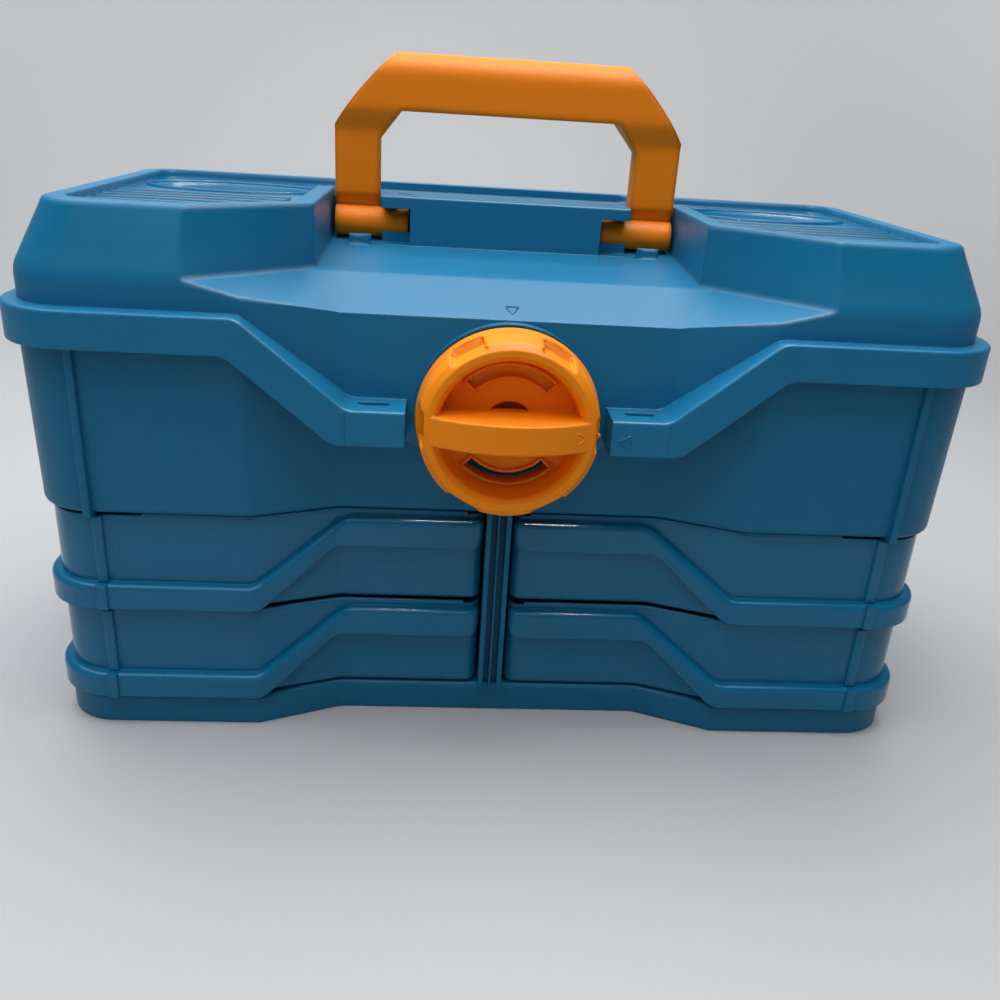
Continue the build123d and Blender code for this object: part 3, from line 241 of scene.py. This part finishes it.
# Polypropylene: satin, with mould grain as bump and cloudy flow marks in the colour
def mouldedPlastic(spec):
    material = bpy.data.materials.new(spec["name"])
    material.use_nodes = True
    tree = material.node_tree
    tree.nodes.clear()
    place = addNode(tree, "ShaderNodeTexCoord").outputs["Object"]
    clouds = addNode(tree, "ShaderNodeTexNoise", {"Scale": 1 / (polypropylene["flow"] * mm), "Detail": 2.0},
                     {"Vector": place})
    colour = addNode(tree, "ShaderNodeMix", {"data_type": "RGBA"}, {"Factor": clouds.outputs["Fac"]})
    colour.inputs[6].default_value = linear(spec["colour"])
    colour.inputs[7].default_value = linear(spec["deep"])
    grain = addNode(tree, "ShaderNodeTexNoise", {"Scale": 1 / (spec["grain"] * mm), "Detail": 3.0,
                                                 "Roughness": 0.6}, {"Vector": place})
    sheen = addNode(tree, "ShaderNodeMapRange", {"From Min": 0.3, "From Max": 0.7,
                                                 "To Min": spec["roughness"] - polypropylene["shinier"],
                                                 "To Max": spec["roughness"] + polypropylene["duller"]},
                    {"Value": grain.outputs["Fac"]})
    dull = sheen.outputs["Result"]
    soft = addNode(tree, "ShaderNodeBevel", {"samples": polypropylene["bevelRays"],
                                             "Radius": spec["edge"] * mm})
    if "dome" in spec:
        part = spec["dome"]
        axes = addNode(tree, "ShaderNodeSeparateXYZ", {}, {"Vector": place}).outputs
        aside = addNode(tree, "ShaderNodeMath", {"operation": "ABSOLUTE"}, {0: axes["X"]}).outputs[0]
        masks = {}
        for name, (axis, start, end) in part["ramps"].items():
            masks[name] = addNode(tree, "ShaderNodeMapRange", {"From Min": start * mm, "From Max": end * mm},
                                  {"Value": aside if axis == "aside" else axes[axis]}).outputs["Result"]
        for name, (operation, first, second) in part["joins"].items():
            masks[name] = addNode(tree, "ShaderNodeMath", {"operation": operation},
                                  {0: masks[first], 1: masks[second]}).outputs[0]
        wider = addNode(tree, "ShaderNodeMapRange", {"To Min": spec["edge"] * mm,
                                                     "To Max": part["domeEdge"] * mm},
                        {"Value": masks["onDome"]})
        tree.links.new(wider.outputs["Result"], soft.inputs["Radius"])
        shine = addNode(tree, "ShaderNodeMapRange", {"To Min": 1.0, "To Max": part["padShine"]},
                        {"Value": masks["onPad"]})
        dull = addNode(tree, "ShaderNodeMath", {"operation": "MULTIPLY"},
                       {0: dull, 1: shine.outputs["Result"]}).outputs[0]
    bump = addNode(tree, "ShaderNodeBump", {"Strength": polypropylene["bump"], "Distance": spec["depth"] * mm},
                   {"Height": grain.outputs["Fac"], "Normal": soft.outputs["Normal"]})
    surface = addNode(tree, "ShaderNodeBsdfPrincipled", {"IOR": polypropylene["ior"],
                                                         "Specular IOR Level": spec["gloss"]},
                      {"Base Color": colour.outputs[2], "Roughness": dull,
                       "Normal": bump.outputs["Normal"]})
    addNode(tree, "ShaderNodeOutputMaterial", {}, {"Surface": surface.outputs["BSDF"]})
    return material


# Zinc-plated steel: drawn and plated, which gives the eye a bright grey metal with uneven gloss
steel = {"name": "zincPlatedSteel", "colour": "#B9BCBE", "roughness": 0.34, "shinier": 0.08, "duller": 0.10,
         "streak": 0.4}


# Metal whose roughness follows fine noise, its size in mm
def platedSteel(spec):
    material = bpy.data.materials.new(spec["name"])
    material.use_nodes = True
    tree = material.node_tree
    tree.nodes.clear()
    place = addNode(tree, "ShaderNodeTexCoord").outputs["Object"]
    streaks = addNode(tree, "ShaderNodeTexNoise", {"Scale": 1 / (spec["streak"] * mm), "Detail": 4.0},
                      {"Vector": place})
    rough = addNode(tree, "ShaderNodeMapRange", {"To Min": spec["roughness"] - spec["shinier"],
                                                 "To Max": spec["roughness"] + spec["duller"]},
                    {"Value": streaks.outputs["Fac"]})
    surface = addNode(tree, "ShaderNodeBsdfPrincipled",
                      {"Base Color": linear(spec["colour"]), "Metallic": 1.0},
                      {"Roughness": rough.outputs["Result"]})
    addNode(tree, "ShaderNodeOutputMaterial", {}, {"Surface": surface.outputs["BSDF"]})
    return material


finishes = {slot: mouldedPlastic(spec) for slot, spec in plastics.items()}
finishes["steel"] = platedSteel(steel)
slotOf = {row["node"]: row["material_slot"] for row in frame["record"]["subparts"]}
for nodeName, node in frame["nodes"].items():
    for place in node.material_slots:
        place.material = finishes.get(nodeName, finishes[slotOf[nodeName]])
print("finishes made")

smoothUpTo = 35  # degrees between faces


# A raised line on a flat face, in mm. Round the path goes the section (width / 2 * cos t, height * sin t), with
# cos and sin to the power squareness. Below the face it is only as deep as the root. An open path has end caps.
def bead(name, path, normal, spec, body, slot, closed=True):
    path = np.array(path, float)
    normal = np.array(normal, float) / np.linalg.norm(normal)
    if closed:
        along = np.roll(path, -1, axis=0) - np.roll(path, 1, axis=0)
    else:
        along = np.gradient(path, axis=0)
    along /= np.linalg.norm(along, axis=1)[:, None]
    side = np.cross(normal, along)
    turn = np.linspace(0, 2 * math.pi, spec["sides"], endpoint=False)
    power = spec.get("squareness", 1.0)
    across = spec["width"] / 2 * np.sign(np.cos(turn)) * np.abs(np.cos(turn)) ** power
    rise = np.where(np.sin(turn) > 0, spec["height"], spec["root"])
    out = rise * np.sign(np.sin(turn)) * np.abs(np.sin(turn)) ** power
    points = (path[:, None, :] + side[:, None, :] * across[None, :, None]
              + normal[None, None, :] * out[None, :, None]).reshape(-1, 3) * mm
    rows, n = len(path), len(turn)
    i = np.arange(rows if closed else rows - 1)[:, None]
    j = np.arange(n)[None, :]
    i2, j2 = (i + 1) % rows, (j + 1) % n
    faces = np.stack([i * n + j, i2 * n + j, i2 * n + j2, i * n + j2], axis=-1).reshape(-1, 4).tolist()
    if not closed:
        faces += [list(range(n)), list(range((rows - 1) * n, rows * n))[::-1]]
    mesh = bpy.data.meshes.new(name)
    mesh.from_pydata(points.tolist(), [], faces)
    return finished(name, mesh, body, slot)


# A closed mesh as a piece that rides on a body: faces turned outwards, shaded smooth where they meet flatly
def finished(name, mesh, body, slot):
    work = bmesh.new()
    work.from_mesh(mesh)
    bmesh.ops.recalc_face_normals(work, faces=work.faces)
    work.to_mesh(mesh)
    work.free()
    mesh.shade_smooth()
    mesh.set_sharp_from_angle(angle=math.radians(smoothUpTo))
    mesh.materials.clear()
    mesh.materials.append(finishes[slot])
    piece = bpy.data.objects.new(name, mesh)
    bpy.context.scene.collection.objects.link(piece)
    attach(piece, body)
    return piece


# A triangle whose point lies at the angle turn, as a path with rounded corners: the corners' circles, of the
# radius corner, sit on a smaller triangle, and each is swept through 120 degrees
def roundedTriangle(centre, u, v, reach, corner, turn, steps):
    path = []
    for k in range(3):
        middle = turn + k * 2 * math.pi / 3
        hub = (reach - 2 * corner) * np.array([math.cos(middle), math.sin(middle)])
        arc = middle + np.linspace(-math.pi / 3, math.pi / 3, steps)
        path.append(hub[None, :] + corner * np.stack([np.cos(arc), np.sin(arc)], axis=1))
    flat = np.concatenate(path)
    return (np.array(centre)[None, :] + flat[:, :1] * np.array(u)[None, :]
            + flat[:, 1:] * np.array(v)[None, :])


# Marks: outlined triangles that show which way the latch turns
mark = {"width": 0.9, "height": 0.35, "root": 0.3, "sides": 8, "reach": 3.6, "corner": 0.5, "steps": 5}
panelRun, panelHeight = 24.8, 12.8  # the lid's slanted panel goes back and up by these, in mm
panelRise = np.array([0.0, panelRun, panelHeight]) / math.hypot(panelRun, panelHeight)
panelOut = np.array([0.0, -panelHeight, panelRun]) / math.hypot(panelRun, panelHeight)
ahead, right, up = (0.0, -1.0, 0.0), (1.0, 0.0, 0.0), (0.0, 0.0, 1.0)
gripAlong, gripOut = (0.9, 0.43, 0.0), (0.43, -0.9, 0.0)  # near the right end of the crowned grip bar
marks = {
    "markAboveLatch": ((0.0, -77.0, 220.88), right, panelRise, panelOut, -math.pi / 2, "lid", "lid_plastic"),
    "markOnTab": ((54.5, -105.0, 168.0), right, up, ahead, math.pi, "lid", "lid_plastic"),
    "markOnGrip": ((31.2, -115.8, 172.3), gripAlong, up, gripOut, 0.0, "latch", "orange_plastic"),
}
for name, (centre, u, v, normal, turn, body, slot) in marks.items():
    path = roundedTriangle(centre, u, v, mark["reach"], mark["corner"], turn, mark["steps"])
    bead(name, path, normal, mark, body, slot)

# Rims round the two oval dishes in the lid: an ellipse a little larger than the dish
dishRim = {"centre": (150.0, 45.0, 256.0), "half": (46.2, 25.2), "width": 2.2, "height": 1.2, "root": 0.3,
           "sides": 12, "steps": 96}
turns = np.linspace(0, 2 * math.pi, dishRim["steps"], endpoint=False)
sides = (("Left", -1), ("Right", 1))
for side, sign in sides:
    ring = np.stack([sign * dishRim["centre"][0] + dishRim["half"][0] * np.cos(turns),
                     dishRim["centre"][1] + dishRim["half"][1] * np.sin(turns),
                     np.full(len(turns), dishRim["centre"][2])], axis=1)
    bead("dishRim" + side, ring, up, dishRim, "lid", "lid_plastic")
print("marks and rims made")

# Tops of the bin's corner ribs, up behind the lid's skirt
ribTop = {"x": 195.0, "y": -98.0, "from": 196.6, "to": 207.0, "width": 3.6, "height": 1.6, "root": 0.6,
          "sides": 24, "squareness": 0.3}
# Fine parting lines that the mould's inserts leave on the lid's front wall and on its two tabs
moldLine = {"width": 0.5, "height": 0.14, "root": 0.3, "sides": 8}
moldLines = {"LidWall": ((83.0, -84.0, 183.0), (83.0, -84.0, 217.6)),
             "Tab": ((74.5, -105.0, 161.8), (74.5, -105.0, 176.6))}
for side, sign in sides:
    x, y = sign * ribTop["x"], ribTop["y"]
    bead("binRibTop" + side, [(x, y, ribTop["from"]), (x, y, (ribTop["from"] + ribTop["to"]) / 2),
                              (x, y, ribTop["to"])], ahead, ribTop, "base", "body_plastic", closed=False)
    for name, (low, high) in moldLines.items():
        ends = np.array([low, high]) * (sign, 1, 1)
        bead("moldLine" + name + side, [ends[0], ends.mean(axis=0), ends[1]], ahead, moldLine, "lid",
             "lid_plastic", closed=False)

# Rounded crests on the corner ribs of the bin and the trays. A tray's heights count from its floor.
crest = {"sides": 20, "root": 0.3, "squareness": 0.8}
binCrest = {**crest, "place": (195.0, -99.5), "from": 118.4, "to": 207.0, "width": 3.5, "height": 0.7}
trayCrest = {**crest, "place": (193.0, -94.4), "from": 13.4, "to": 48.2, "width": 5.0, "height": 0.9}
# Rims that narrow the gap above the trays' low front walls, along the wall in plan
trayRim = {"width": 1.8, "height": 1.4, "root": 0.3, "sides": 16, "squareness": 0.45, "bend": 9.0, "steps": 8,
           "to": 48.6, "plan": ((16.0, -77.6), (80.3, -77.6), (120.7, -92.1), (172.0, -92.1))}
trayFloors = {"lower": 17.4, "upper": 68.6}


# Straight runs whose corners are rounded: (1 - t)^2 P + 2 t (1 - t) corner + t^2 Q, where P and Q lie half the
# bend before and after the corner
def bentPath(corners, bend, steps):
    corners = np.array(corners, float)
    t = np.linspace(0, 1, steps)[:, None]
    path = [corners[:1]]
    for before, corner, after in zip(corners[:-2], corners[1:-1], corners[2:]):
        p = corner + bend * (before - corner) / np.linalg.norm(before - corner) / 2
        q = corner + bend * (after - corner) / np.linalg.norm(after - corner) / 2
        path.append((1 - t) ** 2 * p + 2 * t * (1 - t) * corner + t ** 2 * q)
    path.append(corners[-1:])
    return np.concatenate(path)


for side, sign in sides:
    x, y = binCrest["place"]
    path = np.linspace((sign * x, y, binCrest["from"]), (sign * x, y, binCrest["to"]), 3)
    bead("binRibCrest" + side, path, ahead, binCrest, "base", "body_plastic", closed=False)
    x, y = trayCrest["place"]
    for floorName, floor in trayFloors.items():
        body = floorName + "_" + side.lower()
        path = np.linspace((sign * x, y, floor + trayCrest["from"]), (sign * x, y, floor + trayCrest["to"]), 3)
        bead(floorName + "TrayRibCrest" + side, path, ahead, trayCrest, body, "tray_plastic", closed=False)
        plan = bentPath(trayRim["plan"], trayRim["bend"], trayRim["steps"]) * (sign, 1)
        path = np.concatenate([plan, np.full((len(plan), 1), floor + trayRim["to"])], axis=1)
        bead(floorName + "TrayRim" + side, path, up, trayRim, body, "tray_plastic", closed=False)
print("ribs and rims made")

# Latch knob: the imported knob, with its two arcs opened through the skin that the solid has over them. "floors"
# gives each arc's depth: 1 is the upper one, -1 the lower one.
arcs = {"axisZ": 172.3, "inner": 22.95, "outer": 28.65, "half": math.radians(46.1), "front": -101.0,
        "floors": {1: -96.95, -1: -89.0}, "steps": 40}
# The lower arc goes right through, between walls of its own that reach back to the gap behind the knob
pocket = {"axisZ": 172.3, "inner": 21.8, "outer": 29.8, "half": math.radians(48.5), "front": -97.5,
          "floors": {-1: -90.4}, "steps": 40}
arcFrame = {"width": 1.5, "height": 0.7, "root": 0.4, "sides": 12, "outside": 0.45, "face": -100.0}
mergeWithin = 0.001  # mm
nub = {"centre": (40.9, -106.0, 171.2), "radius": 1.1, "rings": 12, "sides": 20, "pole": 0.02}


# A ring sector between two radii and two depths: points (r cos a, y, axis + r sin a)
def arcBlock(spec, way):
    a = way * math.pi / 2 + np.linspace(-spec["half"], spec["half"], spec["steps"])
    r = np.array([spec["inner"], spec["outer"], spec["outer"], spec["inner"]])
    y = np.array([spec["front"], spec["front"], spec["floors"][way], spec["floors"][way]])
    points = np.stack([r[None, :] * np.cos(a)[:, None], np.broadcast_to(y, (len(a), 4)),
                       spec["axisZ"] + r[None, :] * np.sin(a)[:, None]], axis=-1).reshape(-1, 3) * mm
    i, j = np.arange(len(a) - 1)[:, None] * 4, np.arange(4)[None, :]
    faces = np.stack([i + j, i + (j + 1) % 4, i + 4 + (j + 1) % 4, i + 4 + j], axis=-1).reshape(-1, 4).tolist()
    faces += [[0, 1, 2, 3], [len(points) - 1 - k for k in range(4)]]
    mesh = bpy.data.meshes.new("arcBlock")
    mesh.from_pydata(points.tolist(), [], faces)
    work = bmesh.new()
    work.from_mesh(mesh)
    bmesh.ops.recalc_face_normals(work, faces=work.faces)
    work.to_mesh(mesh)
    work.free()
    return mesh


# The node's mesh, merged, with the lower arc's walls added and then minus the two arc blocks
def openKnob(node, spec):
    mesh = node.data.copy()
    work = bmesh.new()
    work.from_mesh(mesh)
    bmesh.ops.remove_doubles(work, verts=work.verts, dist=mergeWithin * mm)
    work.to_mesh(mesh)
    work.free()
    solid = bpy.data.objects.new("knobSolid", mesh)
    bpy.context.scene.collection.objects.link(solid)
    cutters = []
    for way, block, change in ((-1, pocket, "UNION"), (1, spec, "DIFFERENCE"), (-1, spec, "DIFFERENCE")):
        cutter = bpy.data.objects.new("arcCutter", arcBlock(block, way))
        bpy.context.scene.collection.objects.link(cutter)
        cut = solid.modifiers.new("open", "BOOLEAN")
        cut.operation, cut.solver, cut.object = change, "EXACT", cutter
        cutters.append(cutter)
    shape = bpy.data.meshes.new_from_object(solid.evaluated_get(bpy.context.evaluated_depsgraph_get()))
    for spent in cutters + [solid]:
        bpy.data.objects.remove(spent)
    return shape


knob = finished("knobOpen", openKnob(frame["nodes"]["latch_knob"], arcs), "latch", "orange_plastic")
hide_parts("latch_knob")
flat = knob.modifiers.new("flatFaces", "WEIGHTED_NORMAL")
flat.keep_sharp = True
# A frame round each arc: out along the larger radius and back along the smaller one
for name, way in (("Upper", 1), ("Lower", -1)):
    a = way * math.pi / 2 + np.linspace(-arcs["half"], arcs["half"], arcs["steps"])
    rims = [(arcs["outer"] + arcFrame["outside"], a), (arcs["inner"] - arcFrame["outside"], a[::-1])]
    path = np.concatenate([np.stack([r * np.cos(t), np.full(len(t), arcFrame["face"]),
                                     arcs["axisZ"] + r * np.sin(t)], axis=1) for r, t in rims])
    bead("arcFrame" + name, path, ahead, arcFrame, "latch", "orange_plastic")

# Nub on the knob's rim: (R sin u cos v, R sin u sin v, R cos u)
u = np.linspace(nub["pole"], math.pi - nub["pole"], nub["rings"])[:, None]
v = np.linspace(0, 2 * math.pi, nub["sides"], endpoint=False)[None, :]
points = np.stack([np.sin(u) * np.cos(v), np.sin(u) * np.sin(v), np.cos(u) * np.ones_like(v)], axis=-1)
points = (points.reshape(-1, 3) * nub["radius"] + np.array(nub["centre"])) * mm
i, j = np.arange(nub["rings"] - 1)[:, None], np.arange(nub["sides"])[None, :]
j2 = (j + 1) % nub["sides"]
faces = np.stack([i * nub["sides"] + j, (i + 1) * nub["sides"] + j, (i + 1) * nub["sides"] + j2,
                  i * nub["sides"] + j2], axis=-1).reshape(-1, 4).tolist()
faces += [list(range(nub["sides"])), list(range(len(points) - nub["sides"], len(points)))]
nubMesh = bpy.data.meshes.new("knobNub")
nubMesh.from_pydata(points.tolist(), [], faces)
finished("knobNub", nubMesh, "latch", "orange_plastic")
print("knob made")
